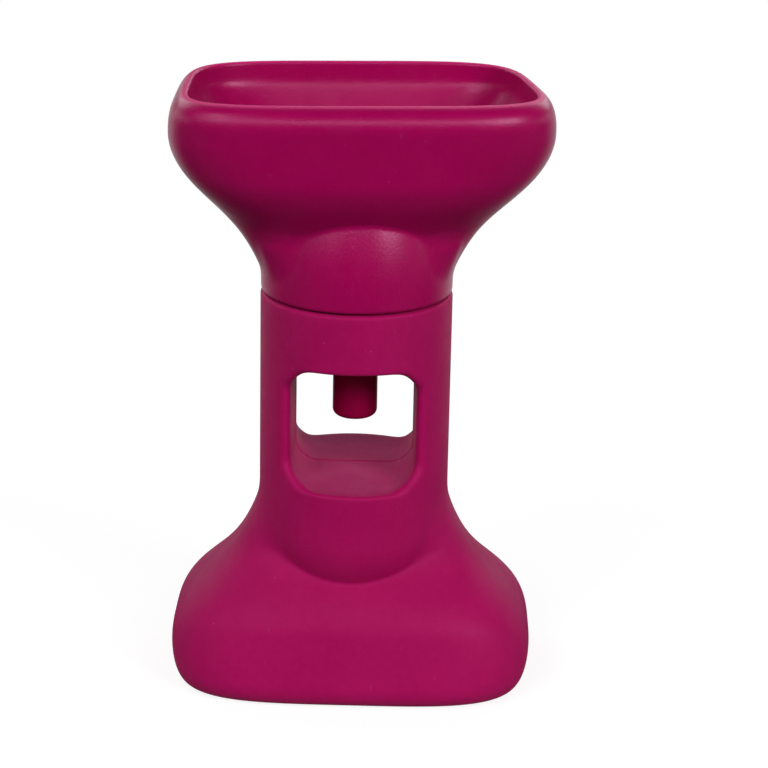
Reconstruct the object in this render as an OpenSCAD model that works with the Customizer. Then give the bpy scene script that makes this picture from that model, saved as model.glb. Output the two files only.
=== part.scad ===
// Chew holder: a dog-bone grip of soft rubber with a slot through its shank.
// The upper end is a screw-on head. Screwing it home drives a pin down into the slot,
// onto the chew that was pushed through it. Units are millimetres, +Z is up,
// the slot runs along Y and the origin is at the middle of the foot's rim.

/* [Shank] */
// Diameter of the round shank
shank_d = 40; // [36:0.5:60]
// Height of the base, from the foot's rim to the seam
base_h = 84.5; // [78:0.1:120]
// Gap left at the seam when the head is screwed home
seam_gap = 0.4; // [0.2:0.1:1]
// How far the head's neck is set back from the shank's surface
neck_step = 0.25; // [0:0.05:1]
// Stretch of neck between the seam and the head's flare
neck_h = 1.4; // [1:0.1:12]
// Height above the foot's rim at which the shank starts to round in, to a half-round end
dome_z = 35.2; // [30:0.1:42]
// Height above the seam at which the neck starts to round in
neck_dome_z = 3.8; // [1:0.1:8]
// Radius at which the neck rounds in
neck_dome_r = 40; // [24:0.5:80]
// Round on the two rims that face each other at the seam
seam_round = 0.8; // [0.2:0.1:1]

/* [Flared ends] */
// Angle at which the head stops, measured from the base
head_stop_angle = 5.5; // [-20:0.5:20]
// Width of an end at its fullest
belly_w = 76.8; // [70:0.1:100]
// Distance of the widest section from the rim
belly_at = 8.5; // [6:0.1:14]
// Width over the rim's flat edge
rim_w = 69.6; // [56:0.1:76]
// Depth over the rim's flat edge, front to back
rim_t = 43.6; // [36:0.1:51]
// Depth of an end where its front and back faces begin
face_t = 51.6; // [45:0.1:66]
// Distance from the rim at which the faces begin
face_at = 5.1; // [2:0.1:6]
// Draft of the faces, in degrees
face_draft = 10; // [2:0.5:14]
// Distance from the rim at which the faces start to turn under
turn_at = 15.5; // [10:0.1:20]
// Radius at which the faces turn under
turn_r = 9.4; // [6:0.1:20]
// Length of the flare, from the rim to where it runs out on the shank
flare_l = 41.8; // [36:0.1:50]
// Pull of the belly on the flare: larger keeps the end wide for longer
belly_pull = 13.4; // [4:0.1:18]
// Pull of the shank on the flare: larger keeps the flare slim for longer
shank_pull = 20.2; // [8:0.1:22]
// How far the flare stands off the shank's sides where the two pulls meet
flare_ease = 4.5; // [1:0.1:8]
// Least depth of the flare, front to back, where it runs out on the shank's sides
flare_end_t = 28; // [8:0.1:30]
// Depth over which the turned faces ease into that least depth
flare_end_ease = 12; // [2:0.1:16]
// Squareness of the rim's outline, 2 is an ellipse
rim_square = 4.4; // [2.5:0.1:6]
// Squareness of the belly's outline
belly_square = 3.8; // [2.2:0.05:5]
// Squareness of the outline where the flare runs out
flare_square = 2.4; // [2:0.05:4]
// How much wider the head's rim is at its front, and narrower at its back, as a share
head_taper = 0.06; // [0:0.01:0.1]

/* [Dished ends] */
// Width of the flat lip left round a dish
lip_w = 1; // [0.6:0.1:3]
// Height of the upright wall under the lip
dish_wall = 4.5; // [2:0.1:8]
// Depth of a dish below the rim
dish_depth = 20; // [10:0.5:24]
// Width of a dish's floor
dish_floor_w = 34; // [20:0.5:44]
// Depth of a dish's floor, front to back
dish_floor_t = 18; // [10:0.5:24]

/* [Slot for the chew] */
// Width of the slot at its waist, half-way through
slot_w = 24.9; // [16:0.1:27]
// Height of the slot at its waist
slot_h = 24.5; // [18:0.1:26]
// Corner radius of the slot at its waist
slot_corner = 5.2; // [1.5:0.1:7]
// Draft of the slot's walls, in degrees, opening to both faces
slot_draft = 2.5; // [1:0.1:4]
// Rubber left between the slot's waist and the threaded sleeve
slot_roof = 3.7; // [2.5:0.1:6]

/* [Screw] */
// Outside diameter of the screw thread
thread_d = 24; // [18:0.5:27]
// Length of the threaded stud below the neck
thread_l = 9.8; // [7:0.1:12]
// Running clearance between the stud and the sleeve, on the radius
thread_gap = 0.1; // [0.05:0.01:0.1]
// Clearance between the stud's tip and the floor of the sleeve's socket
thread_end_gap = 0.4; // [0.2:0.1:1]
// Wall of the threaded sleeve
sleeve_wall = 3; // [2:0.1:4]
// How far the ring that locks the sleeve into the rubber stands out
sleeve_ring_out = 1.4; // [0.6:0.1:2]
// Depth to which the stud is buried in the head
stud_root = 8; // [6:0.1:10]
// How far the flange that locks the stud into the rubber stands out
stud_flange_out = 2.8; // [1:0.1:5]
// Thickness of the locking ring and of the locking flange
lock_t = 2.4; // [1:0.1:3]
// Clearance between an insert and the rubber moulded round it
bond_gap = 0.05; // [0.03:0.01:0.1]

/* [Clamp pin] */
// Diameter of the pin
pin_d = 9.4; // [6:0.1:12]
// Reach of the pin below the head's neck
pin_reach = 28; // [20:0.1:34]
// Round on the pin's tip
pin_round = 1.6; // [0.3:0.1:2.5]
// Depth of the pin's socket in the stud
pin_seat = 14; // [10:0.1:16]
// Running clearance of the pin in its socket and guide, on the radius
pin_gap = 0.08; // [0.05:0.01:0.1]
// How far the snap bead stands out from the pin
bead_out = 0.4; // [0.2:0.05:0.8]
// Length of the snap bead, and of the plain end above it
bead_l = 1.6; // [1:0.1:2.5]

/* [Hidden] */
$fn = 96;
// Facets round a flared end, and sections along its parts
facets = 60;
belly_steps = 6;
flare_steps = 11;
dish_steps = 4;
// Steps of a dome's profile and of a small round
dome_steps = 16;
round_steps = 6;
// Distance from the rim over which the head's taper fades out
taper_run = 30;
// Superellipse power of a dish's floor
floor_square = 2;
// Overshoot of cuts
over = 1;

// Heights of the seam and of the head's rim
neck_z = base_h + seam_gap;
head_h = neck_h + flare_l;
top_z = neck_z + head_h;
shank_r = shank_d / 2;
neck_r = shank_r - neck_step;

// The flare ends just inside the shank, so that the two surfaces cross
flare_sink = 0.4;
flare_end_w = 2 * (neck_r - flare_sink);

// The sleeve fills a socket in the top of the shank, above the slot's roof
thread_r = thread_d / 2;
sleeve_r = thread_r + thread_gap + sleeve_wall;
sleeve_l = thread_l - seam_gap + thread_end_gap;
sleeve_z = base_h - sleeve_l;
slot_mid = sleeve_z - slot_roof - slot_h / 2;
slot_reach = shank_r + over;
slot_flare = slot_reach * tan(slot_draft);

// The pin hangs from a blind socket in the stud, held by its snap bead
pin_r = pin_d / 2;
pin_tip_z = neck_z - pin_reach;
stud_tip_z = neck_z - thread_l;
stud_top_z = neck_z + stud_root;
pin_top_z = stud_tip_z + pin_seat - thread_end_gap;
bead_z = pin_top_z - 2 * bead_l;

RUBBER = [0.61, 0.10, 0.34];
NYLON = [0.55, 0.09, 0.31];

function mix(a, b, t) = a + (b - a) * t;

// Larger of two values, blended over a given size where they are near each other
function smooth_max(a, b, size) =
    let (h = max(0, min(1, 0.5 + 0.5 * (a - b) / size))) mix(b, a, h) + size * h * (1 - h);

function bezier(p, t) =
    p[0] * pow(1 - t, 3) + 3 * p[1] * t * pow(1 - t, 2) + 3 * p[2] * t * t * (1 - t) + p[3] * pow(t, 3);

// Radius of a superellipse at an angle
function outline(angle, half_w, half_t, square) =
    pow(pow(abs(cos(angle)) / half_w, square) + pow(abs(sin(angle)) / half_t, square), -1 / square);

// Share of the taper left at a distance from the rim
function taper_left(d) = max(0, min(1, 1 - d / taper_run));

// One ring of points for a section given as [width, depth, squareness, height]
function ring(section, taper) = [
    for (i = [0 : facets - 1])
        let (angle = i * 360 / facets, r = outline(angle, section[0] / 2, section[1] / 2, section[2]),
             y = r * sin(angle), widen = 1 - taper * taper_left(section[3]) * y / (rim_t / 2))
            [r * cos(angle) * widen, y, section[3]]
];

// Points of an arc of radius r about [x, z], none of them past the axis
function arc(x, z, r, from, to, steps) = [
    for (i = [0 : steps])
        let (angle = mix(from, to, i / steps)) [max(0, x + r * cos(angle)), z + r * sin(angle)]
];

// Depth of an end at a distance from its rim: rounded rim, drafted face, then turned under
function face_depth(d) = face_t - 2 * (d - face_at) * tan(face_draft);
function depth_at(d) =
    d < face_at
        ? face_depth(d) - (face_depth(0) - rim_t) * (1 - sqrt(1 - pow(1 - d / face_at, 2)))
        : smooth_max(face_depth(d) - pow(max(0, d - turn_at), 2) / turn_r, flare_end_t, flare_end_ease);

// Sections of a flared end: from the rim round to the belly, then drawn in to the shank
rim_sections = [
    for (k = [0 : belly_steps - 1])
        let (angle = 90 * k / belly_steps, s = sin(angle), d = belly_at * (1 - cos(angle)))
            [mix(rim_w, belly_w, s), depth_at(d), mix(rim_square, belly_square, s), d]
];
flare_sections = [
    for (k = [0 : flare_steps])
        let (t = k / flare_steps,
             d = bezier([belly_at, belly_at + belly_pull, flare_l - shank_pull, flare_l], t))
            [bezier([belly_w, belly_w, shank_d + 2 * flare_ease, flare_end_w], t),
             depth_at(d), mix(belly_square, flare_square, t), d]
];

// Sections of a dish, from above its lip down to its floor
dish_mouth_w = rim_w - 2 * lip_w;
dish_mouth_t = rim_t - 2 * lip_w;
bowl_sections = [
    for (k = [0 : dish_steps])
        let (t = k / dish_steps)
            [mix(dish_mouth_w, dish_floor_w, t), mix(dish_mouth_t, dish_floor_t, t),
             mix(rim_square, floor_square, t), mix(dish_wall, dish_depth, t * (3 - t) / 2)]
];
dish_sections = concat([[dish_mouth_w, dish_mouth_t, rim_square, -over]], bowl_sections);

// A solid skinned over rings of points, lowest section first
module loft(sections, taper) {
    last = len(sections) - 1;
    points = [for (s = sections) each ring(s, taper)];
    bands = [
        for (k = [0 : last - 1], i = [0 : facets - 1])
            let (a = k * facets + i, b = k * facets + (i + 1) % facets)
                each [[a, a + facets, b + facets], [a, b + facets, b]]
    ];
    lower_cap = [[for (i = [0 : facets - 1]) i]];
    upper_cap = [[for (i = [facets - 1 : -1 : 0]) last * facets + i]];
    polyhedron(points, concat(bands, lower_cap, upper_cap));
}

// A flared, dished end with its rim at z = 0 and a round post that rises from it to post_h.
// Below spring_z the post rounds in towards the end, at the radius dome_r.
module flared_end(post_r, post_h, spring_z, dome_r, taper) {
    difference() {
        union() {
            loft(concat(rim_sections, flare_sections), taper);
            post(post_r, post_h, spring_z, dome_r);
        }
        loft(dish_sections, taper);
    }
}

// Upright post with a domed lower end and a rounded upper rim
module post(r, height, spring_z, dome_r) {
    dome_angle = acos(1 - r / dome_r);
    rotate_extrude()
        polygon(concat(arc(r - dome_r, spring_z, dome_r, -dome_angle, 0, dome_steps),
                       arc(r - seam_round, height - seam_round, seam_round, 0, 90, round_steps),
                       [[0, height]]));
}

// Rounded section of the slot as a thin slab across Y, grown outwards on all sides
module slot_slab(y, grow) {
    corner = slot_corner + grow;
    half_w = slot_w / 2 + grow - corner;
    half_h = slot_h / 2 + grow - corner;
    slab = 0.02;
    for (sx = [-1, 1], sz = [-1, 1])
        translate([sx * half_w, y, slot_mid + sz * half_h])
            rotate([90, 0, 0]) cylinder(r = corner, h = slab, center = true, $fn = 32);
}

// One half of the drafted slot, from the waist out past a face
module slot_half(side) {
    hull() {
        slot_slab(0, 0);
        slot_slab(side * slot_reach, slot_flare);
    }
}

// Outside of the threaded sleeve with its locking ring; grow and rise turn it into its socket
module sleeve_form(grow, rise) {
    translate([0, 0, sleeve_z - grow]) cylinder(r = sleeve_r + grow, h = sleeve_l + grow + rise);
    translate([0, 0, sleeve_z + lock_t - grow])
        cylinder(r = sleeve_r + sleeve_ring_out + grow, h = lock_t + 2 * grow);
}

// Outside of the stud from a given height up, with its locking flange; grow turns it into its socket
module stud_form(from_z, grow) {
    translate([0, 0, from_z]) cylinder(r = thread_r + grow, h = stud_top_z + grow - from_z);
    translate([0, 0, stud_top_z - lock_t - grow])
        cylinder(r = thread_r + stud_flange_out + grow, h = lock_t + 2 * grow);
}

module base_body() {
    color(RUBBER)
    difference() {
        flared_end(shank_r, base_h, dome_z, shank_r, 0);
        slot_half(-1);
        slot_half(1);
        sleeve_form(bond_gap, over);
        translate([0, 0, slot_mid]) cylinder(r = pin_r + pin_gap, h = base_h - slot_mid);
    }
}

module thread_sleeve() {
    color(NYLON)
    difference() {
        sleeve_form(0, 0);
        translate([0, 0, sleeve_z - over]) cylinder(r = thread_r + thread_gap, h = sleeve_l + 2 * over);
    }
}

module clamp_pin() {
    color(NYLON) {
        translate([0, 0, pin_tip_z])
            rotate_extrude()
                polygon(concat([[0, 0]],
                               arc(pin_r - pin_round, pin_round, pin_round, -90, 0, round_steps),
                               [[pin_r, pin_top_z - pin_tip_z], [0, pin_top_z - pin_tip_z]]));
        translate([0, 0, bead_z]) cylinder(r = pin_r + bead_out, h = bead_l);
    }
}

module screw_stud() {
    color(NYLON)
    difference() {
        stud_form(stud_tip_z, 0);
        translate([0, 0, stud_tip_z - over]) cylinder(r = pin_r + pin_gap, h = pin_seat + over);
        translate([0, 0, bead_z - pin_gap])
            cylinder(r = pin_r + bead_out + pin_gap, h = bead_l + 2 * pin_gap);
    }
}

module head_body() {
    color(RUBBER)
    difference() {
        translate([0, 0, top_z]) rotate([0, 0, head_stop_angle]) mirror([0, 0, 1])
            flared_end(neck_r, head_h, head_h - neck_dome_z, neck_dome_r, head_taper);
        stud_form(neck_z - over, bond_gap);
    }
}

base_body();
thread_sleeve();
clamp_pin();
screw_stud();
head_body();
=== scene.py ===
"""Looks of the chew holder: a rubber dog-bone with a slotted shank, a screw-on head and a clamp pin.

Everything is in metres, in the part's own frame: +Z up, the slot along Y, the foot's rim on z = 0.
"""

import math
from collections import namedtuple

import bmesh
import bpy
import numpy as np
from mathutils import Matrix, Vector


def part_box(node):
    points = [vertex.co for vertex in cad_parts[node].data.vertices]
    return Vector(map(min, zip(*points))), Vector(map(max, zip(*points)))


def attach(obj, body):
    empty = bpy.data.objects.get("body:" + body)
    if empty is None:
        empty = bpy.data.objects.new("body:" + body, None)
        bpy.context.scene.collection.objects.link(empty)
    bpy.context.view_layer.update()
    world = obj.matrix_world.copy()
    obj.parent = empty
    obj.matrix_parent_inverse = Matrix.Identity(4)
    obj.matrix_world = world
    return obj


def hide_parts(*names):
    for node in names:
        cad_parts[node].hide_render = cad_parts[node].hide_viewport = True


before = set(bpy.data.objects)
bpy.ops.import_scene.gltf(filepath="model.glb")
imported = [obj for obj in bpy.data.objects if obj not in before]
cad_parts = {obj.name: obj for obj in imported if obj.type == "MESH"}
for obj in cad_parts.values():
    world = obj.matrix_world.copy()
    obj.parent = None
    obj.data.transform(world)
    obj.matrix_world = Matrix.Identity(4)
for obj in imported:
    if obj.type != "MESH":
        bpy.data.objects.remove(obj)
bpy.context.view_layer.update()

MM = 0.001

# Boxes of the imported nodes, which give the heights and the outer sizes
base_low, base_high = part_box("base_body")
head_low, head_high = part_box("head_body")
sleeve_low, sleeve_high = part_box("thread_sleeve")
stud_low, stud_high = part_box("screw_stud")
pin_low, pin_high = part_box("clamp_pin")
BASE_H = base_high.z
NECK_Z = head_low.z
TOP_Z = head_high.z
HEAD_H = TOP_Z - NECK_Z
BELLY_W = base_high.x - base_low.x

# Shank and neck
SHANK_R = 20 * MM
NECK_R = 19.9 * MM
SEAM_ROUND = 0.8 * MM

# Crease between flare and post, which fades on the diagonals, between two cosines of the bearing from X
CREASE_BLEND = 0.7 * MM
CREASE_FADE_FROM = 0.6
CREASE_FADE_FULL = 0.88
CREASE_RUN_OUT = 8 * MM

# Flared ends
HEAD_STOP_ANGLE = math.radians(5.5)
BELLY_AT = 8.5 * MM
RIM_W = 69.6 * MM
RIM_T = 43.6 * MM
FACE_T = 51.6 * MM
FACE_AT = 5.1 * MM
FACE_SLOPE = math.tan(math.radians(10))
TURN_AT = 15.5 * MM
TURN_R = 9.4 * MM
FLARE_EASE = 4.4 * MM
FLARE_END_T = 28 * MM
FLARE_END_BLEND = 6 * MM
FLARE_INSET = 0.4 * MM
BELLY_SQUARE = 3.8
FLARE_SQUARE = 2.4
HEAD_TAPER = 0.06
TAPER_RUN = 30 * MM

# What differs between the two ends: the post's radius, where it starts to round in and on which radius, the
# flare's length and the pull of its curve at either end, the rim's squareness and the fade of the crease
End = namedtuple("End", "post_r spring dome_r flare_l belly_pull shank_pull rim_square crease_fade")
FOOT = End(
    post_r=SHANK_R,
    spring=35.2 * MM,
    dome_r=SHANK_R,
    flare_l=41.8 * MM,
    belly_pull=13.4 * MM,
    shank_pull=20.2 * MM,
    rim_square=3.7,
    crease_fade=1.2 * MM,
)
HEAD = End(
    post_r=NECK_R,
    spring=HEAD_H - 3.8 * MM,
    dome_r=40 * MM,
    flare_l=40.2 * MM,
    belly_pull=10.7 * MM,
    shank_pull=15.5 * MM,
    rim_square=4.4,
    crease_fade=6 * MM,
)

# Dished ends, with the counts of rings on either side of the lip's crest that get its wear and a painted
# highlight
LIP_W = 0.6 * MM
DISH_WALL = 4.5 * MM
DISH_DEPTH = 20 * MM
DISH_FLOOR_W = 34 * MM
DISH_FLOOR_T = 18 * MM
FLOOR_SQUARE = 2
DISH_SOFTENING = 5
LIP_WEAR_AND_HIGHLIGHT_INSIDE = 3
LIP_WEAR_AND_HIGHLIGHT_OUTSIDE = 3

# Slot through the shank
SLOT_W = 24.9 * MM
SLOT_H = 24.5 * MM
SLOT_CORNER = 5.2 * MM
SLOT_SLOPE = math.tan(math.radians(2.5))
SLOT_MID = 58.75 * MM
SLOT_ROUND_ENDS = 0.8 * MM
SLOT_ROUND_SIDES = 2.8 * MM
SLOT_ROUND_CORNERS = 2.0 * MM
PARTING_RIDGE = 0.12 * MM
SLOT_PATCH_LOW = FOOT.flare_l
SLOT_PATCH_HIGH = 76.5 * MM
SLOT_PATCH_HALF = math.radians(63)

# Screw
THREAD_R = 12 * MM
THREAD_DEPTH = 1 * MM
THREAD_PITCH = 3.6 * MM
THREAD_FLATNESS = 1.7
THREAD_GAP = 0.16 * MM
THREAD_RUN_OUT = 1.2 * MM
SLEEVE_R = 15.1 * MM
SLEEVE_RING_R = (sleeve_high.x - sleeve_low.x) / 2
SLEEVE_LEAD = 0.9 * MM
SLEEVE_BEVEL = 0.3 * MM
STUD_FLANGE_R = (stud_high.x - stud_low.x) / 2
STUD_BEVEL = 0.5 * MM
LOCK_T = 2.4 * MM
BOND_GAP = 0.05 * MM

# Clamp pin
PIN_R = 4.7 * MM
PIN_ROUND = 1.6 * MM
PIN_CROWN = 0.1 * MM
PIN_GAP = 0.08 * MM
PIN_SEAT = 14 * MM
BEAD_R = (pin_high.x - pin_low.x) / 2
BEAD_L = 1.6 * MM
BEAD_Z = pin_high.z - 2 * BEAD_L
BEAD_EASE = 0.35 * MM

# Mesh density: counts round and along the pieces, and how the rings are spread along the slot
AROUND = 240
THREAD_AROUND = 120
PIN_AROUND = 72
THETA = np.arange(AROUND) * 2 * math.pi / AROUND
THREAD_THETA = np.arange(THREAD_AROUND) * 2 * math.pi / THREAD_AROUND
SHANK_ROW_H = 1 * MM
ROWS_ABOVE_SLOT = 8
SLOT_PLATE_STEPS = 9
SLOT_PLATE_EASE = 0.85
SLOT_ROUND_STEPS = 8
SLOT_WALL_STEPS = 10
SLOT_WALL_TO = 0.96
RIDGE_FROM = 0.988

# Cutting and shading: a tool's reach past the cut, points that count as one, sharp edges in degrees
CUT_PAST = 0.6 * MM
SLIVER = 0.002 * MM
SHARP_EDGE = 40
SHARP_THREAD_EDGE = 35


def mix(a, b, t):
    return a + (b - a) * t


def bezier(p, t):
    return p[0] * (1 - t) ** 3 + 3 * p[1] * t * (1 - t) ** 2 + 3 * p[2] * t * t * (1 - t) + p[3] * t**3


def eased(share):
    """Share from 0 to 1, eased at both ends."""
    return share**2 * (3 - 2 * share)


def smooth_max(a, b, size):
    """Larger of two values, blended over a given size where they are near each other."""
    h = np.clip(0.5 + 0.5 * (a - b) / size, 0, 1)
    return mix(b, a, h) + size * h * (1 - h)


def new_object(name, data):
    made = bpy.data.objects.new(name, data)
    bpy.context.scene.collection.objects.link(made)
    return made


class Skin:
    """Rings of points and the faces between them, which become one mesh."""

    def __init__(self):
        self.points = []
        self.faces = []
        self.marks = {"dust": {}, "lip": {}}

    def ring(self, points):
        first = len(self.points)
        self.points.extend(tuple(p) for p in points)
        return list(range(first, len(self.points)))

    def revolve(self, profile, around=AROUND):
        """Rings of a profile of (radius, height), where a radius may be one for every angle."""
        return [self.ring(ring_points(r, z, around)) for r, z in profile]

    def bridge(self, a, b):
        for i in range(len(a)):
            k = (i + 1) % len(a)
            self.faces.append((a[i], a[k], b[k], b[i]))

    def bridge_all(self, rings):
        for a, b in zip(rings, rings[1:]):
            self.bridge(a, b)

    def mark(self, name, rings):
        """Notes the points that get a film of dust and painted reflection, or a lip's wear and painted
        highlight.
        """
        for ring in rings:
            self.marks[name].update(dict.fromkeys(ring, 1.0))

    def mark_end(self, end, rings):
        """Marks the dish and the lip among the rings of a whole flared end."""
        dish = len(dish_sections(end))
        lip = dish + len(list(lip_sections(end)))
        # The dish gets the film of dust and painted reflection of the pale background.
        self.mark("dust", rings[:dish])
        # The lip's crest gets its wear and a painted highlight.
        self.mark("lip", rings[lip - LIP_WEAR_AND_HIGHLIGHT_INSIDE:lip + LIP_WEAR_AND_HIGHLIGHT_OUTSIDE])

    def close(self, ring):
        """Fan from a ring to its middle."""
        middle = np.mean([self.points[i] for i in ring], axis=0)
        tip = self.ring([middle])[0]
        for i in range(len(ring)):
            self.faces.append((ring[i], ring[(i + 1) % len(ring)], tip))

    def piece(self, name):
        """Object of this skin, with faces that look outward and its marks as attributes."""
        mesh = bpy.data.meshes.new(name)
        mesh.from_pydata(self.points, [], self.faces)
        for mark, marked in self.marks.items():
            layer = mesh.attributes.new(mark, "FLOAT", "POINT")
            layer.data.foreach_set("value", [marked.get(i, 0.0) for i in range(len(self.points))])
        work = bmesh.new()
        work.from_mesh(mesh)
        bmesh.ops.recalc_face_normals(work, faces=work.faces)
        work.to_mesh(mesh)
        work.free()
        return new_object(name, mesh)


def smooth_faces(piece, sharp_deg):
    """Smooth shading, broken at edges sharper than an angle."""
    piece.data.polygons.foreach_set("use_smooth", [True] * len(piece.data.polygons))
    piece.data.set_sharp_from_angle(angle=math.radians(sharp_deg))


# Flared ends: each ring is a radius, or one for every angle, and a distance from the rim


def outline(half_w, half_t, square):
    """Radius of a superellipse at every angle."""
    x = np.abs(np.cos(THETA)) / half_w
    y = np.abs(np.sin(THETA)) / half_t
    return (x**square + y**square) ** (-1 / square)


def half_depth(d):
    """Half of an end's depth at a distance from its rim: rounded rim, drafted face, then turned under."""
    face = FACE_T / 2 - (d - FACE_AT) * FACE_SLOPE
    if d < FACE_AT:
        overhang = FACE_T / 2 + FACE_AT * FACE_SLOPE - RIM_T / 2
        return face - overhang * (1 - math.sqrt(1 - (1 - d / FACE_AT) ** 2))
    turned = max(0, d - TURN_AT) ** 2 / (2 * TURN_R)
    return smooth_max(face - turned, FLARE_END_T / 2, FLARE_END_BLEND)


def rim_rings(end, steps=18):
    """From the lip's crest round to the widest section."""
    for k in range(steps):
        angle = math.pi / 2 * k / steps
        s = math.sin(angle)
        d = BELLY_AT * (1 - math.cos(angle))
        square = mix(end.rim_square, BELLY_SQUARE, s)
        yield outline(mix(RIM_W, BELLY_W, s) / 2, half_depth(d), square), d


def flare_rings(end, steps=84):
    """From the widest section to where the flare runs out on the shank."""
    for k in range(steps + 1):
        t = k / steps
        half_w = bezier([BELLY_W / 2, BELLY_W / 2, SHANK_R + FLARE_EASE, end.post_r - FLARE_INSET], t)
        d = bezier([BELLY_AT, BELLY_AT + end.belly_pull, end.flare_l - end.shank_pull, end.flare_l], t)
        yield outline(half_w, half_depth(d), mix(BELLY_SQUARE, FLARE_SQUARE, t)), d


def dish_sections(end, floor_steps=5, bowl_steps=34, wall_steps=8):
    """Rows of half width, half depth, squareness and distance from the rim, from the floor to the lip."""
    mouth_w = RIM_W / 2 - LIP_W
    mouth_t = RIM_T / 2 - LIP_W
    rows = []
    for k in range(1, floor_steps):
        s = k / floor_steps
        rows.append((s * DISH_FLOOR_W / 2, s * DISH_FLOOR_T / 2, FLOOR_SQUARE, DISH_DEPTH))
    for k in range(bowl_steps + 1):
        t = 1 - k / bowl_steps
        half_w = mix(mouth_w, DISH_FLOOR_W / 2, t)
        half_t = mix(mouth_t, DISH_FLOOR_T / 2, t)
        depth = mix(DISH_WALL, DISH_DEPTH, t * (3 - t) / 2)
        rows.append((half_w, half_t, mix(end.rim_square, FLOOR_SQUARE, t), depth))
    for k in range(1, wall_steps):
        rows.append((mouth_w, mouth_t, end.rim_square, mix(DISH_WALL, LIP_W, k / wall_steps)))
    rows = np.array(rows)
    for _ in range(DISH_SOFTENING):
        rows[1:-1] = (rows[:-2] + 2 * rows[1:-1] + rows[2:]) / 4
    return rows


def lip_sections(end, steps=6):
    """Round on the lip's inner edge, from the dish's wall up to the crest."""
    for k in range(steps):
        angle = math.pi / 2 * (1 - k / steps)
        inset = LIP_W * math.sin(angle)
        yield RIM_W / 2 - inset, RIM_T / 2 - inset, end.rim_square, LIP_W * (1 - math.cos(angle))


def post_radius(end, d):
    """Radius of an end's post, which rounds in from its spring line towards the rim."""
    drop = end.spring - d
    if drop <= 0:
        return end.post_r
    return max(0, end.post_r - end.dome_r + math.sqrt(max(0, end.dome_r**2 - drop**2)))


def crease_blend(end, d):
    """Size of the blend between flare and post at every angle: wider where the crease fades."""
    aside = np.abs(np.cos(THETA))
    rise = np.clip((aside - CREASE_FADE_FROM) / (CREASE_FADE_FULL - CREASE_FADE_FROM), 0, 1)
    fall = np.clip((1 - aside) / (1 - CREASE_FADE_FULL), 0, 1)
    left = min(1, max(0, end.flare_l - d) / CREASE_RUN_OUT)
    return CREASE_BLEND + end.crease_fade * left * eased(rise) * eased(fall)


def end_rings(end):
    """A whole flared end, from the middle of its dish over the lip and down the flare."""
    rings = [(outline(w, t, n), d) for w, t, n, d in [*dish_sections(end), *lip_sections(end)]]
    for radius, d in [*rim_rings(end), *flare_rings(end)]:
        rings.append((smooth_max(radius, post_radius(end, d), crease_blend(end, d)), d))
    return rings


def seam_rings(post_r, height, steps=5):
    """Rounded rim where a post ends at the seam."""
    for k in range(steps + 1):
        angle = math.pi / 2 * k / steps
        r = post_r - SEAM_ROUND * (1 - math.cos(angle))
        yield r, height - SEAM_ROUND * (1 - math.sin(angle))


def ring_points(radius, z, around=AROUND):
    """Points of a level ring round the Z axis, of one radius or of one for every angle."""
    angle = np.arange(around) * 2 * math.pi / around
    return np.column_stack([radius * np.cos(angle), radius * np.sin(angle), np.full(around, z)])


def head_points(radius, d):
    """A ring of the head: tapered in plan near the rim, then turned to the angle at which it stops."""
    p = ring_points(radius, TOP_Z - d)
    left = max(0, 1 - d / TAPER_RUN)
    x = p[:, 0] * (1 - HEAD_TAPER * left * p[:, 1] / (RIM_T / 2))
    y = p[:, 1].copy()
    p[:, 0] = x * math.cos(HEAD_STOP_ANGLE) - y * math.sin(HEAD_STOP_ANGLE)
    p[:, 1] = x * math.sin(HEAD_STOP_ANGLE) + y * math.cos(HEAD_STOP_ANGLE)
    return p


# Slot through the shank


def slot_distance(p):
    """Distance of points from the slot's drafted wall, positive inside the slot."""
    grow = np.abs(p[:, 1]) * SLOT_SLOPE
    qx = np.abs(p[:, 0]) - (SLOT_W / 2 - SLOT_CORNER)
    qz = np.abs(p[:, 2] - SLOT_MID) - (SLOT_H / 2 - SLOT_CORNER)
    outside = np.hypot(np.maximum(qx, 0), np.maximum(qz, 0))
    return SLOT_CORNER + grow - outside - np.minimum(np.maximum(qx, qz), 0)


def shank_distance(p):
    """Distance of points from the shank's surface, positive outside it."""
    return np.hypot(p[:, 0], p[:, 1]) - SHANK_R


def gradient(field, p, step=1e-6):
    """Slope of a field at points, one column for each axis."""
    columns = [(field(p + step * e) - field(p - step * e)) / (2 * step) for e in np.eye(3)]
    return np.column_stack(columns)


def settle(p, shank_at, slot_at, rounds=12):
    """Moves points until they lie at given distances from the shank's surface and from the slot's wall."""
    p = p.copy()
    for _ in range(rounds):
        jacobian = np.stack([gradient(shank_distance, p), gradient(slot_distance, p)], axis=1)
        miss = np.column_stack([shank_distance(p) - shank_at, slot_distance(p) - slot_at])
        square = jacobian @ jacobian.transpose(0, 2, 1)
        p -= (jacobian.transpose(0, 2, 1) @ np.linalg.solve(square, miss[:, :, None]))[:, :, 0]
    return p


def on_shank(arc, z):
    """Points on the front of the shank, from a length of arc and a height."""
    angle = arc / SHANK_R
    return np.column_stack([SHANK_R * np.sin(angle), -SHANK_R * np.cos(angle), z])


def shank_share(arc, z, slot_at, halvings=50):
    """How far out, from the slot's middle to points on the shank, its wall is a given distance away."""
    low, high = np.zeros(len(arc)), np.ones(len(arc))
    for _ in range(halvings):
        s = (low + high) / 2
        near = slot_distance(on_shank(arc * s, mix(SLOT_MID, z, s))) > slot_at
        low, high = np.where(near, s, low), np.where(near, high, s)
    return low


def slot_round(p):
    """Size of the slot's rounded edge: small along its top and bottom, larger at its sides and corners."""
    outward = gradient(slot_distance, p)
    flat = outward[:, [0, 2]] / np.linalg.norm(outward[:, [0, 2]], axis=1)[:, None]
    sideways = flat[:, 0] ** 2
    corner = 4 * sideways * (1 - sideways)
    return mix(mix(SLOT_ROUND_ENDS, SLOT_ROUND_SIDES, sideways), SLOT_ROUND_CORNERS, corner)


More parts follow.
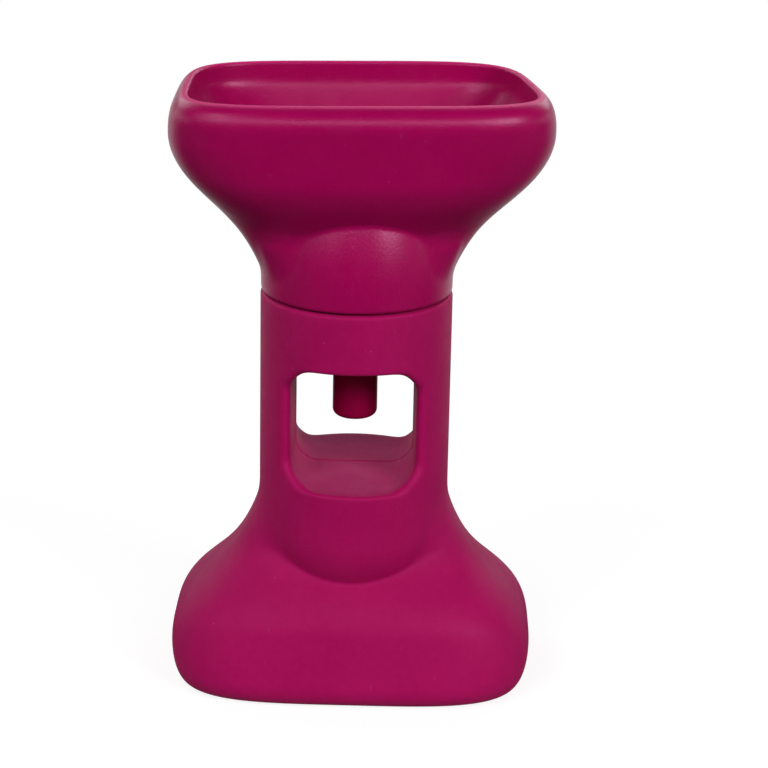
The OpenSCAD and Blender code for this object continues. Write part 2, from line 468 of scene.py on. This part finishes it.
def slot_rings(edge):
    """Rings from an edge loop on the front of the shank in to the slot's waist at y = 0.

    They cross the shank's surface, go round the slot's rounded edge and run down its drafted wall.
    """
    arc = SHANK_R * np.arctan2(edge[:, 0], -edge[:, 1])
    z = edge[:, 2]
    sharp = shank_share(arc, z, 0)
    size = slot_round(on_shank(arc * sharp, mix(SLOT_MID, z, sharp)))
    start = shank_share(arc, z, -size)
    rings = []
    for k in range(1, SLOT_PLATE_STEPS + 1):
        q = mix(1, start, (k / SLOT_PLATE_STEPS) ** SLOT_PLATE_EASE)
        rings.append(on_shank(arc * q, mix(SLOT_MID, z, q)))
    p = rings[-1]
    for k in range(1, SLOT_ROUND_STEPS + 1):
        angle = math.pi / 2 * k / SLOT_ROUND_STEPS
        p = settle(p, -size * (1 - math.cos(angle)), -size * (1 - math.sin(angle)))
        rings.append(p)
    outward = -gradient(slot_distance, p)
    waist = p - outward * (np.abs(p[:, 1]) * SLOT_SLOPE)[:, None]
    waist[:, 1] = 0
    shares = [*np.linspace(0, SLOT_WALL_TO, SLOT_WALL_STEPS)[1:], RIDGE_FROM]
    rings.extend(mix(p, waist, s) for s in shares)
    rings.append(waist - outward * PARTING_RIDGE)
    return rings


def patch_loop(left, right, last):
    """Rows and columns of the grid's points round the slot's patch, in order."""
    loop = [(0, j) for j in range(left, right)]
    loop += [(k, right) for k in range(last)]
    loop += [(last, j) for j in range(right, left, -1)]
    loop += [(k, left) for k in range(last, 0, -1)]
    return loop


def pierce_slot(skin, rows):
    """Opens the slot through rows of the shank's grid, front and back, and leaves the rest of the grid."""
    # The front is -Y, three quarters of the way round
    half = round(SLOT_PATCH_HALF * AROUND / (2 * math.pi))
    front = 3 * AROUND // 4
    left, right = front - half, front + half
    for a, b in zip(rows, rows[1:]):
        for j in range(AROUND):
            k = (j + 1) % AROUND
            mirrored = AROUND - j - 1
            if left <= j < right or left <= mirrored < right:
                continue
            skin.faces.append((a[j], a[k], b[k], b[j]))
    loop = patch_loop(left, right, len(rows) - 1)
    front_loop = [rows[k][j % AROUND] for k, j in loop]
    back_loop = [rows[k][-j % AROUND] for k, j in loop]
    rings = slot_rings(np.array([skin.points[i] for i in front_loop]))
    waist = skin.ring(rings[-1])
    for edge, side in ((front_loop, 1), (back_loop, -1)):
        inner = [skin.ring(ring * (1, side, 1)) for ring in rings[:-1]]
        # The slot's wall gets the mark for the film of dust and painted reflection on its up-facing floor.
        skin.mark("dust", inner[SLOT_PLATE_STEPS + SLOT_ROUND_STEPS:-1])
        skin.bridge_all([edge, *inner, waist])


# Pieces


def lathe(name, profile, around):
    """Solid over a profile of (radius, height), closed at both of its ends."""
    skin = Skin()
    rings = skin.revolve(profile, around)
    skin.bridge_all(rings)
    skin.close(rings[0])
    skin.close(rings[-1])
    return skin.piece(name)


def drop_slivers(piece):
    """Merges points that all but coincide and takes out the faces of no area, which a cut leaves."""
    mesh = bmesh.new()
    mesh.from_mesh(piece.data)
    bmesh.ops.remove_doubles(mesh, verts=mesh.verts, dist=SLIVER)
    bmesh.ops.dissolve_degenerate(mesh, edges=mesh.edges, dist=SLIVER)
    mesh.to_mesh(piece.data)
    mesh.free()


def cut(piece, tool):
    """Takes a tool's volume out of a piece."""
    step = piece.modifiers.new("cut", "BOOLEAN")
    step.operation = "DIFFERENCE"
    step.solver = "EXACT"
    step.object = tool
    with bpy.context.temp_override(object=piece, active_object=piece):
        bpy.ops.object.modifier_apply(modifier=step.name)
    bpy.data.objects.remove(tool)
    drop_slivers(piece)


def base_skin():
    """Foot and shank, with the slot through the shank and a closed top."""
    skin = Skin()
    rings = skin.revolve(end_rings(FOOT))
    skin.mark_end(FOOT, rings)
    skin.close(rings[0])
    skin.bridge_all(rings)
    count = round((SLOT_PATCH_HIGH - SLOT_PATCH_LOW) / SHANK_ROW_H)
    heights = np.linspace(SLOT_PATCH_LOW, SLOT_PATCH_HIGH, count + 1)[1:]
    rows = [rings[-1]] + skin.revolve([(SHANK_R, z) for z in heights])
    pierce_slot(skin, rows)
    upper = np.linspace(SLOT_PATCH_HIGH, BASE_H - SEAM_ROUND, ROWS_ABOVE_SLOT)[1:-1]
    rim = [(SHANK_R, z) for z in upper] + list(seam_rings(SHANK_R, BASE_H))
    rings = [rows[-1]] + skin.revolve(rim)
    skin.bridge_all(rings)
    skin.close(rings[-1])
    return skin.piece("base_rubber")


def sleeve_socket():
    """Room for the threaded sleeve in the top of the shank, with the pin's guide below it."""
    r = SLEEVE_R + BOND_GAP
    ring_r = SLEEVE_RING_R + BOND_GAP
    guide_r = PIN_R + PIN_GAP
    low = sleeve_low.z - BOND_GAP
    ring_low = sleeve_low.z + LOCK_T - BOND_GAP
    ring_high = ring_low + LOCK_T + 2 * BOND_GAP
    profile = [(guide_r, SLOT_MID), (guide_r, low), (r, low), (r, ring_low), (ring_r, ring_low)]
    profile += [(ring_r, ring_high), (r, ring_high), (r, BASE_H + CUT_PAST)]
    return lathe("sleeve_socket", profile, THREAD_AROUND)


def make_base():
    """Foot and shank in one moulding."""
    base = base_skin()
    cut(base, sleeve_socket())
    smooth_faces(base, SHARP_EDGE)
    return base


def make_head():
    """Head and neck in one moulding, with room for the stud and its flange."""
    skin = Skin()
    rim = [*end_rings(HEAD), *seam_rings(NECK_R, HEAD_H)]
    rings = [skin.ring(head_points(r, d)) for r, d in rim]
    skin.mark_end(HEAD, rings)
    skin.close(rings[0])
    r = THREAD_R + BOND_GAP
    flange_r = STUD_FLANGE_R + BOND_GAP
    flange_high = stud_high.z + BOND_GAP
    flange_low = flange_high - LOCK_T - 2 * BOND_GAP
    socket = [(r, NECK_Z), (r, flange_low), (flange_r, flange_low), (flange_r, flange_high)]
    rings += [skin.ring(head_points(x, TOP_Z - z)) for x, z in socket]
    skin.bridge_all(rings)
    skin.close(rings[-1])
    head = skin.piece("head_rubber")
    smooth_faces(head, SHARP_EDGE)
    return head


def thread_radius(z, share):
    """Radius of the thread at every angle, with flat crests and roots. A share of its height stands."""
    wave = np.clip(THREAD_FLATNESS * np.cos(2 * math.pi * z / THREAD_PITCH - THREAD_THETA), -1, 1)
    return THREAD_R - THREAD_DEPTH * (1 - share * (1 + wave) / 2)


def make_sleeve(steps=60):
    """Threaded sleeve, moulded into the shank, with a ring that locks it there."""
    skin = Skin()
    low, high = sleeve_low.z, sleeve_high.z
    inside = []
    for z in np.linspace(low, high, steps):
        lead = THREAD_R - np.clip((high - z) / SLEEVE_LEAD, 0, 1) * THREAD_DEPTH
        inside.append((np.maximum(thread_radius(z, 1), lead) + THREAD_GAP, z))
    ring_low = low + LOCK_T
    ring_high = ring_low + LOCK_T
    outside = [(SLEEVE_R - SLEEVE_BEVEL, high), (SLEEVE_R, high - SLEEVE_BEVEL), (SLEEVE_R, ring_high)]
    outside += [(SLEEVE_RING_R, ring_high), (SLEEVE_RING_R, ring_low)]
    outside += [(SLEEVE_R, ring_low), (SLEEVE_R, low)]
    rings = skin.revolve([*inside, *outside], THREAD_AROUND)
    skin.bridge_all(rings + [rings[0]])
    sleeve = skin.piece("thread_sleeve_nylon")
    smooth_faces(sleeve, SHARP_THREAD_EDGE)
    return sleeve


def stud_bore():
    """Profile of the stud's blind socket for the pin and its bead, from the inner end to the mouth."""
    r = PIN_R + PIN_GAP
    bead_r = BEAD_R + PIN_GAP
    bead_low = BEAD_Z - PIN_GAP
    bead_high = BEAD_Z + BEAD_L + PIN_GAP
    mouth = stud_low.z
    bead = [(r, bead_high), (bead_r, bead_high), (bead_r, bead_low), (r, bead_low)]
    return [(r, mouth + PIN_SEAT), *bead, (r, mouth + STUD_BEVEL), (r + STUD_BEVEL, mouth)]


def make_stud(steps=62):
    """Threaded stud that the head is moulded round, with a blind socket for the pin."""
    low, high = stud_low.z, stud_high.z
    profile = stud_bore()
    for z in np.linspace(low, NECK_Z, steps):
        share = np.clip((z - low) / THREAD_RUN_OUT, 0, 1) * np.clip((NECK_Z - z) / THREAD_RUN_OUT, 0, 1)
        profile.append((thread_radius(z, share), z))
    flange_low = high - LOCK_T
    profile += [(THREAD_R, NECK_Z + BOND_GAP), (THREAD_R, flange_low)]
    profile += [(STUD_FLANGE_R, flange_low), (STUD_FLANGE_R, high)]
    stud = lathe("screw_stud_nylon", profile, THREAD_AROUND)
    smooth_faces(stud, SHARP_THREAD_EDGE)
    return stud


def make_pin(crown_steps=4, round_steps=8, shaft_steps=6):
    """Clamp pin with a crowned, rounded tip and a snap bead near its upper end."""
    low, high = pin_low.z, pin_high.z
    flat_r = PIN_R - PIN_ROUND
    shares = [k / crown_steps for k in range(1, crown_steps)]
    profile = [(flat_r * s, low + PIN_CROWN * s**2) for s in shares]
    for k in range(round_steps + 1):
        angle = math.pi / 2 * k / round_steps
        drop = (PIN_ROUND - PIN_CROWN) * math.cos(angle)
        profile.append((flat_r + PIN_ROUND * math.sin(angle), low + PIN_ROUND - drop))
    shares = [k / shaft_steps for k in range(1, shaft_steps + 1)]
    profile += [(PIN_R, mix(low + PIN_ROUND, BEAD_Z, s)) for s in shares]
    bead_high = BEAD_Z + BEAD_L
    profile += [(BEAD_R - BEAD_EASE / 2, BEAD_Z + BEAD_EASE / 4), (BEAD_R, BEAD_Z + BEAD_EASE)]
    profile += [(BEAD_R, bead_high - BEAD_EASE), (BEAD_R - BEAD_EASE / 2, bead_high - BEAD_EASE / 4)]
    profile += [(PIN_R, bead_high), (PIN_R, high - BEAD_EASE), (PIN_R - BEAD_EASE, high)]
    pin = lathe("clamp_pin_nylon", profile, PIN_AROUND)
    smooth_faces(pin, SHARP_EDGE)
    return pin


# Shader nodes


def node_tree(material):
    material.use_nodes = True
    tree = material.node_tree
    tree.nodes.clear()
    return tree


def feed(tree, socket, value):
    """Sets an input to a number or a colour, or links it to an output."""
    if isinstance(value, bpy.types.NodeSocket):
        tree.links.new(value, socket)
    else:
        socket.default_value = value


def add(tree, kind, **inputs):
    """New node with its named inputs fed."""
    node = tree.nodes.new(kind)
    for key, value in inputs.items():
        feed(tree, node.inputs[key.replace("_", " ")], value)
    return node


def split(tree, vector):
    """Outputs X, Y and Z of a vector."""
    return add(tree, "ShaderNodeSeparateXYZ", Vector=vector).outputs


def ramp(tree, value, low, high):
    """Share from 0 to 1, eased, as a value goes from low to high."""
    node = add(tree, "ShaderNodeMapRange", Value=value, From_Min=low, From_Max=high)
    node.interpolation_type = "SMOOTHSTEP"
    return node.outputs["Result"]


def combine(tree, operation, a, b):
    node = tree.nodes.new("ShaderNodeMath")
    node.operation = operation
    feed(tree, node.inputs[0], a)
    feed(tree, node.inputs[1], b)
    return node.outputs["Value"]


def product(tree, first, *others):
    for other in others:
        first = combine(tree, "MULTIPLY", first, other)
    return first


def size_of(tree, value):
    """A value without its sign."""
    return combine(tree, "ABSOLUTE", value, 0)


def blend_colour(tree, share, a, b):
    """Mix of two colours. The node has sockets of other kinds too, so its own are taken by number."""
    node = tree.nodes.new("ShaderNodeMix")
    node.data_type = "RGBA"
    for socket, value in ((node.inputs[0], share), (node.inputs[6], a), (node.inputs[7], b)):
        feed(tree, socket, value)
    return node.outputs[2]


def join(tree, share, a, b):
    """Mix of two shaders."""
    node = add(tree, "ShaderNodeMixShader", Fac=share)
    feed(tree, node.inputs[1], a)
    feed(tree, node.inputs[2], b)
    return node.outputs["Shader"]


# Rubber and nylon. A noise has the size of its features and the two levels that are read as 0 and 1

Noise = namedtuple("Noise", "size detail roughness low high")
BROAD = Noise(size=16 * MM, detail=4, roughness=0.55, low=0.32, high=0.68)
CLOSE = Noise(size=1.5 * MM, detail=2, roughness=0.55, low=0.3, high=0.7)
POLISH = Noise(size=5 * MM, detail=3, roughness=0.55, low=0.3, high=0.7)
# Patches of the film of dust and painted reflection.
DUST_AND_REFLECTION_PATCHES = Noise(size=9 * MM, detail=6, roughness=0.62, low=0.44, high=0.66)
SCUFFS = Noise(size=0.8 * MM, detail=2, roughness=0.55, low=0.68, high=0.85)
GRAIN = Noise(size=0.5 * MM, detail=2, roughness=0.55, low=0, high=1)
GRAIN_DEPTH = 0.1 * MM
BROAD_SHARE = 0.6
CLOSE_SHARE = 0.4
POLISH_RANGE = 0.08
MATT_RANGE = 0.25
SCUFF_TURN = (0.7, 0.5, 0.0)
SCUFF_STRETCH = (1.0, 1.0, 0.4)
SCUFF_COLOUR = (0.6, 0.2, 0.34, 1)
SPECK_SPACING = 3.2 * MM
SPECK_R = 0.22 * MM
SPECK_CORE = 0.4
SPECKS_KEPT = 0.2
# Paler colour on the lip's crest: wear, and a painted highlight along the crest.
WEAR_AND_HIGHLIGHT_COLOUR = (0.7, 0.012, 0.19, 1)
LYING_FROM = 0.25
LYING_FULL = 1.0
FILM_FULL = 9 * MM
FILM_END = 25 * MM
SHINE_TINT = (1, 0.55, 0.85, 1)
SHEEN_TINT = (1, 0.8, 0.9, 1)
SHEEN_ROUGHNESS = 0.35

# What differs between the materials: colours, surface, and how much grain, dust with painted reflection,
# and lip wear with painted highlight they show
Look = namedtuple("Look", "deep pale film roughness specular sheen grain dust patchy scuffed worn")
# The base's colours are about a tenth paler than the head's: painted light, for the brighter light on the
# lower half.
BASE_LOOK = Look(
    deep=(0.38, 0.002, 0.092, 1),
    pale=(0.42, 0.004, 0.104, 1),
    film=(0.52, 0.16, 0.33, 1),
    roughness=0.52,
    specular=0.16,
    sheen=0.05,
    grain=0.3,
    dust=0.2,
    patchy=0.35,
    scuffed=0.2,
    worn=0.4,
)
HEAD_LOOK = Look(
    deep=(0.35, 0.0006, 0.08, 1),
    pale=(0.383, 0.001, 0.09, 1),
    film=(0.5, 0.04, 0.18, 1),
    roughness=0.28,
    specular=0.38,
    sheen=0.0,
    grain=0.45,
    dust=0.24,
    patchy=0.8,
    scuffed=0.14,
    worn=0.8,
)
NYLON_LOOK = Look(
    deep=(0.27, 0.0003, 0.044, 1),
    pale=(0.29, 0.0005, 0.048, 1),
    film=(0.5, 0.05, 0.18, 1),
    roughness=0.34,
    specular=0.15,
    sheen=0.0,
    grain=0.2,
    dust=0.0,
    patchy=0.0,
    scuffed=0.0,
    worn=0.0,
)


def noise(tree, place, kind):
    """Noise of a kind, as it comes."""
    node = add(tree, "ShaderNodeTexNoise", Vector=place, Scale=1 / kind.size)
    feed(tree, node.inputs["Detail"], kind.detail)
    feed(tree, node.inputs["Roughness"], kind.roughness)
    return node.outputs["Fac"]


def blotches(tree, place, kind):
    """Noise of a kind, read as a share between its two levels."""
    return ramp(tree, noise(tree, place, kind), kind.low, kind.high)


def specks(tree, place):
    """Scattered specks: one in each cell of a grid of random points, of which a share is kept."""
    cells = add(tree, "ShaderNodeTexVoronoi", Vector=place, Scale=1 / SPECK_SPACING)
    edge = SPECK_R / SPECK_SPACING
    dot = ramp(tree, cells.outputs["Distance"], edge, SPECK_CORE * edge)
    pick = add(tree, "ShaderNodeSeparateColor", Color=cells.outputs["Color"])
    return product(tree, dot, combine(tree, "LESS_THAN", pick.outputs["Red"], SPECKS_KEPT))


def mark_share(tree, name):
    """Share of a mark that the mesh carries."""
    node = tree.nodes.new("ShaderNodeAttribute")
    node.attribute_name = name
    return node.outputs["Fac"]


def settled_dust_and_reflection(tree, place):
    """Where the film of dust and painted reflection goes: on marked faces that look up, and less towards
    the sides.
    """
    normal = add(tree, "ShaderNodeNewGeometry").outputs["Normal"]
    lying = ramp(tree, split(tree, normal)["Z"], LYING_FROM, LYING_FULL)
    middle = ramp(tree, size_of(tree, split(tree, place)["X"]), FILM_END, FILM_FULL)
    return product(tree, lying, mark_share(tree, "dust"), middle)


def dust_and_reflection_film(tree, place, film_mask, look):
    """Share of the film's colour, dust with a painted reflection of the pale background, partly in patches.
    """
    patches = product(tree, blotches(tree, place, DUST_AND_REFLECTION_PATCHES), look.patchy)
    return product(tree, combine(tree, "ADD", patches, 1 - look.patchy), film_mask, look.dust)


def scuff_marks(tree, place, broad, look):
    """Share of the pale specks, and of the slanted scuffs in the broad blotches."""
    slanted = add(tree, "ShaderNodeMapping", Vector=place, Rotation=SCUFF_TURN, Scale=SCUFF_STRETCH)
    scuffs = product(tree, blotches(tree, slanted.outputs[0], SCUFFS), broad, look.scuffed)
    return combine(tree, "MAXIMUM", product(tree, specks(tree, place), look.scuffed), scuffs)


def moulded_material(name, look):
    """Matt moulding: mottled colour, fine grain, a film of dust and painted reflection, scuffs, and a worn
    lip with a painted highlight.
    """
    material = bpy.data.materials.new(name)
    tree = node_tree(material)
    place = add(tree, "ShaderNodeTexCoord").outputs["Object"]
    broad = blotches(tree, place, BROAD)
    close = blotches(tree, place, CLOSE)
    tone = combine(tree, "ADD", product(tree, broad, BROAD_SHARE), product(tree, close, CLOSE_SHARE))
    film_mask = settled_dust_and_reflection(tree, place)
    worn = product(tree, mark_share(tree, "lip"), look.worn)
    colour = blend_colour(tree, tone, look.deep, look.pale)
    # Film of dust with a painted reflection of the pale background, on up-facing floors of the dish and
    # slot.
    colour = blend_colour(tree, dust_and_reflection_film(tree, place, film_mask, look), colour, look.film)
    colour = blend_colour(tree, scuff_marks(tree, place, broad, look), colour, SCUFF_COLOUR)
    # Lip's crest: wear, and a painted highlight in a paler colour.
    colour = blend_colour(tree, worn, colour, WEAR_AND_HIGHLIGHT_COLOUR)
    polish = product(tree, blotches(tree, place, POLISH), POLISH_RANGE)
    matt = product(tree, combine(tree, "MAXIMUM", film_mask, worn), MATT_RANGE)
    grain = noise(tree, place, GRAIN)
    bump = add(tree, "ShaderNodeBump", Strength=look.grain, Distance=GRAIN_DEPTH, Height=grain)
    shader = add(
        tree,
        "ShaderNodeBsdfPrincipled",
        Base_Color=colour,
        Roughness=combine(tree, "ADD", matt, combine(tree, "ADD", polish, look.roughness)),
        Normal=bump.outputs["Normal"],
        Specular_IOR_Level=look.specular,
        Specular_Tint=SHINE_TINT,
        Sheen_Weight=look.sheen,
        Sheen_Roughness=SHEEN_ROUGHNESS,
        Sheen_Tint=SHEEN_TINT,
    )
    add(tree, "ShaderNodeOutputMaterial", Surface=shader.outputs["BSDF"])
    return material


def dress(piece, material, body, node):
    """Gives a piece its material, its body and the node that it replaces."""
    piece.data.materials.clear()
    piece.data.materials.append(material)
    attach(piece, body)
    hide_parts(node)


base_rubber = moulded_material("base_rubber", BASE_LOOK)
head_rubber = moulded_material("head_rubber", HEAD_LOOK)
nylon = moulded_material("nylon", NYLON_LOOK)
dress(make_base(), base_rubber, "base", "base_body")
dress(make_head(), head_rubber, "head", "head_body")
dress(make_sleeve(), nylon, "base", "thread_sleeve")
dress(make_stud(), nylon, "head", "screw_stud")
dress(make_pin(), nylon, "pin", "clamp_pin")

# Stage: floor, world and lamps. ASIDE and BEHIND are cosines and sines of a bearing, other bounds metres

WHITE = (1, 1, 1, 1)
FLOOR_SIZE = 8.0
FLOOR_COLOUR = (0.3, 0.3, 0.3, 1)
FLOOR_GLOW = 0.82
FLOOR_FADE_FROM = 0.06
FLOOR_FADE_TO = 0.22
FLOOR_BOUNCE = 0.12
FLOOR_BOUNCE_NEAR = 0.6
FLOOR_NEAR_FROM = 0.045
FLOOR_NEAR_TO = 0.1
FLOOR_BOUNCE_ASIDE = 0.42
ASIDE_FROM = 0.45
ASIDE_TO = 0.9
FLOOR_SHEEN = 0.8
SHEEN_NEAR = 0.06
SHEEN_FAR = 0.28
BEHIND_FROM = 0.1
BEHIND_TO = 1.0
LAMP_DISTANCE = 1.1


def floor_seen(tree, reach):
    """What the camera sees: a pale floor with the object's shadow, which fades to white further off."""
    white = add(tree, "ShaderNodeEmission", Strength=1.0).outputs[0]
    glow = add(tree, "ShaderNodeEmission", Strength=FLOOR_GLOW).outputs[0]
    pale = add(tree, "ShaderNodeBsdfDiffuse", Color=FLOOR_COLOUR).outputs[0]
    lit = tree.nodes.new("ShaderNodeAddShader")
    feed(tree, lit.inputs[0], pale)
    feed(tree, lit.inputs[1], glow)
    return join(tree, ramp(tree, reach, FLOOR_FADE_FROM, FLOOR_FADE_TO), lit.outputs[0], white)


def floor_bounce(tree, along, reach):
    """What lights the object from below: a grey floor, paler close to the object and to its sides."""
    near = product(tree, ramp(tree, reach, FLOOR_NEAR_TO, FLOOR_NEAR_FROM), FLOOR_BOUNCE_NEAR)
    across = combine(tree, "DIVIDE", size_of(tree, along["X"]), reach)
    aside = product(tree, ramp(tree, across, ASIDE_FROM, ASIDE_TO), FLOOR_BOUNCE_ASIDE)
    grey = combine(tree, "MAXIMUM", combine(tree, "MAXIMUM", near, aside), FLOOR_BOUNCE)
    return add(tree, "ShaderNodeBsdfDiffuse", Color=grey).outputs[0]


def floor_sheen(tree, along, reach):
    """What reflections show: a floor that is bright some way behind the object."""
    behind = ramp(tree, combine(tree, "DIVIDE", along["Y"], reach), BEHIND_FROM, BEHIND_TO)
    far = ramp(tree, reach, SHEEN_NEAR, SHEEN_FAR)
    return add(tree, "ShaderNodeEmission", Strength=product(tree, behind, far, FLOOR_SHEEN)).outputs[0]


def floor_material():
    """Pale floor, with its own look for the camera, for reflections and as a source of bounced light."""
    material = bpy.data.materials.new("floor")
    tree = node_tree(material)
    path = tree.nodes.new("ShaderNodeLightPath").outputs
    place = add(tree, "ShaderNodeTexCoord").outputs["Object"]
    length = add(tree, "ShaderNodeVectorMath", Vector=place)
    length.operation = "LENGTH"
    reach = length.outputs["Value"]
    along = split(tree, place)
    bounce = floor_bounce(tree, along, reach)
    unseen = join(tree, path["Is Glossy Ray"], bounce, floor_sheen(tree, along, reach))
    surface = join(tree, path["Is Camera Ray"], unseen, floor_seen(tree, reach))
    add(tree, "ShaderNodeOutputMaterial", Surface=surface)
    return material


def make_floor():
    mesh = bpy.data.meshes.new("floor")
    half = FLOOR_SIZE / 2
    corners = [(-half, -half, 0), (half, -half, 0), (half, half, 0), (-half, half, 0)]
    mesh.from_pydata(corners, [], [(0, 1, 2, 3)])
    mesh.materials.append(floor_material())
    new_object("floor", mesh)


def make_world(front_sheen, back_sheen):
    """White to the camera, no lamp, and brighter behind the object than before it in reflections."""
    world = bpy.data.worlds.new("studio")
    bpy.context.scene.world = world
    tree = node_tree(world)
    path = tree.nodes.new("ShaderNodeLightPath").outputs
    along = split(tree, add(tree, "ShaderNodeTexCoord").outputs["Generated"])
    behind = ramp(tree, along["Y"], BEHIND_FROM, BEHIND_TO)
    level = combine(tree, "ADD", product(tree, behind, back_sheen - front_sheen), front_sheen)
    sheen = product(tree, path["Is Glossy Ray"], level)
    clear = combine(tree, "MAXIMUM", path["Is Camera Ray"], path["Is Transmission Ray"])
    sky = add(tree, "ShaderNodeBackground", Color=WHITE, Strength=combine(tree, "MAXIMUM", clear, sheen))
    add(tree, "ShaderNodeOutputWorld", Surface=sky.outputs["Background"])


def direction(azimuth, elevation):
    """Unit vector from the object to a place round it. Azimuth 0 is in front, and grows to the right."""
    flat = math.cos(elevation)
    return Vector((math.sin(azimuth) * flat, -math.cos(azimuth) * flat, math.sin(elevation)))


def softbox(name, azimuth, elevation, width, height, power):
    """Area lamp aimed at the middle of the object, from a direction in degrees."""
    lamp = bpy.data.lights.new(name, "AREA")
    lamp.shape = "RECTANGLE"
    lamp.size = width
    lamp.size_y = height
    lamp.energy = power
    made = new_object(name, lamp)
    away = direction(math.radians(azimuth), math.radians(elevation))
    made.location = Vector((0, 0, TOP_Z / 2)) + away * LAMP_DISTANCE
    made.rotation_euler = away.to_track_quat("Z", "Y").to_euler()


make_floor()
make_world(front_sheen=0.024, back_sheen=0.4)
softbox("front", azimuth=0, elevation=34, width=1.5, height=0.25, power=4.45)
softbox("right", azimuth=46, elevation=25, width=0.36, height=0.36, power=5.2)
softbox("left", azimuth=-45, elevation=29, width=0.8, height=0.5, power=2.5)
softbox("left_high", azimuth=-42, elevation=50, width=0.25, height=0.25, power=1.5)
softbox("side_left", azimuth=-104, elevation=8, width=1.2, height=0.25, power=1.1)
softbox("side_right", azimuth=104, elevation=8, width=1.2, height=0.25, power=0.9)
softbox("back_left", azimuth=-140, elevation=30, width=0.8, height=0.5, power=2.6)
softbox("back_right", azimuth=155, elevation=25, width=0.8, height=0.5, power=2.6)

# Camera at the photograph's angle, found by fitting it to the outline in the 768 pixel frame

PHOTO_PX = 768
FOCAL_PX = 2545.7
SENSOR_MM = 36
CLIP_START = 10 * MM
TARGET = Vector((0, 0, 65 * MM))
TARGET_PX = (355.3, 377.9)
CAMERA_DISTANCE = 536 * MM
CAMERA_AZIMUTH = math.radians(1.34)
CAMERA_ELEVATION = math.radians(18.57)
CAMERA_ROLL = math.radians(0.92)


def make_camera():
    """Camera that shows the target at its place in the photograph."""
    data = bpy.data.cameras.new("camera")
    data.sensor_width = SENSOR_MM
    data.lens = SENSOR_MM * FOCAL_PX / PHOTO_PX
    data.clip_start = CLIP_START
    camera = new_object("camera", data)
    back = direction(CAMERA_AZIMUTH, CAMERA_ELEVATION)
    level = Vector((math.cos(CAMERA_AZIMUTH), math.sin(CAMERA_AZIMUTH), 0))
    upright = back.cross(level)
    right = level * math.cos(CAMERA_ROLL) + upright * math.sin(CAMERA_ROLL)
    up = back.cross(right)
    aside = PHOTO_PX / 2 - TARGET_PX[0]
    below = PHOTO_PX / 2 - TARGET_PX[1]
    away = (back * FOCAL_PX - right * aside + up * below).normalized()
    right = up.cross(away).normalized()
    up = away.cross(right)
    turn = Matrix((right, up, away)).transposed()
    camera.matrix_world = Matrix.Translation(TARGET + back * CAMERA_DISTANCE) @ turn.to_4x4()
    bpy.context.scene.camera = camera


make_camera()
bpy.context.scene.view_settings.view_transform = "Standard"
